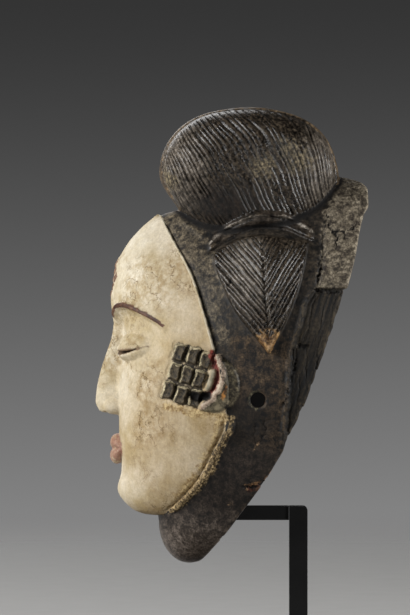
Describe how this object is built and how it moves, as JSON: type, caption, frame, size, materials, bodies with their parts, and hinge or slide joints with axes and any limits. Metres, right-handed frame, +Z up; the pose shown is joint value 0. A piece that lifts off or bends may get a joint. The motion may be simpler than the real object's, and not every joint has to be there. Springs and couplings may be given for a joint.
{
  "type": "punu mask",
  "caption": "Hollow carved wooden face mask, white-faced with a dark fluted crest and side tresses, hung on a black steel bracket, post and foot.",
  "frame": {"origin": "middle of the foot's flat underside, on the ground", "axes": "+Z up; the face looks along -Y; +X to the mask's own left side, the side in the picture"},
  "size_m": [0.157, 0.177, 0.3603],
  "materials": {
    "carved_wood": "white kaolin on the face, black-brown stain on the hair, dark brown collar, worn matt",
    "black_steel": "matt black paint"
  },
  "bodies": {
    "root": {"mask": "carved_wood", "stand_bracket": "black_steel", "stand_post": "black_steel", "stand_foot": "black_steel"}
  },
  "joints": []
}
